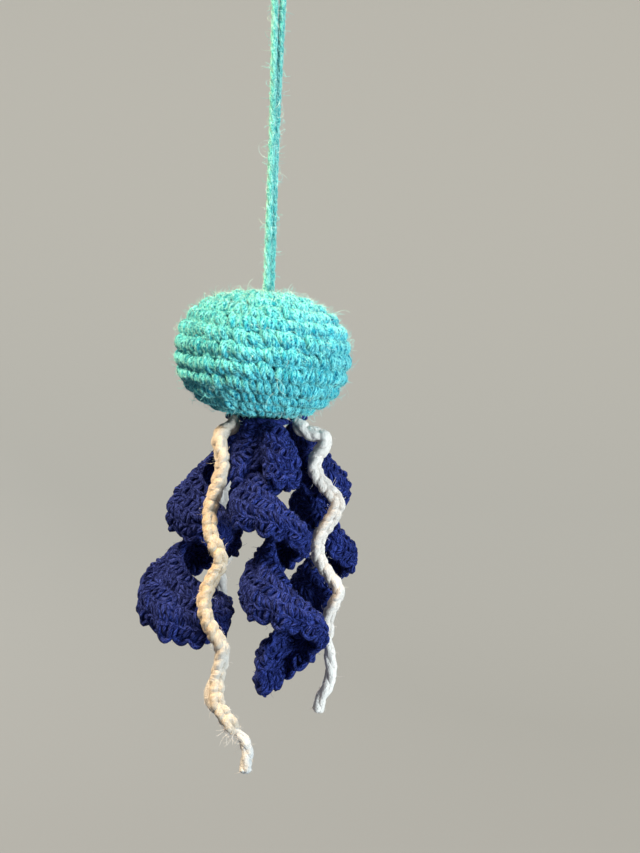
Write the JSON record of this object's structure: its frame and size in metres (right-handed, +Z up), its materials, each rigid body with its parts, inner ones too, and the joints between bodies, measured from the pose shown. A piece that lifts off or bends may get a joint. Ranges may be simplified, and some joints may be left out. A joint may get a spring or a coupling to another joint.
{
  "type": "crochet jellyfish charm",
  "caption": "Crocheted jellyfish charm: a stuffed round bell on a doubled yarn loop, with corkscrew curls and wavy chain-stitch tentacles hanging under it.",
  "frame": {"origin": "the point under the top bend of the hanging loop, where a hook carries it", "axes": "+Z up along the taut loop, the bell and tentacles hang towards -Z, the front is at -Y"},
  "size_m": [0.0749, 0.0599, 0.2978],
  "materials": {
    "turquoise_yarn": "fuzzy plied yarn, single crochet",
    "navy_yarn": "fuzzy plied yarn, crocheted strip",
    "cream_yarn": "soft undyed yarn, chain stitch",
    "toy_filling": "polyester fibre filling"
  },
  "bodies": {
    "root": {"bell_cover": "turquoise_yarn", "bell_stuffing": "toy_filling", "loop_knot": "turquoise_yarn", "hanging_loop": "turquoise_yarn", "front_curl": "navy_yarn", "left_curl": "navy_yarn", "rear_curl": "navy_yarn", "left_tentacle": "cream_yarn", "right_tentacle": "cream_yarn", "rear_tentacle": "cream_yarn"}
  },
  "joints": []
}
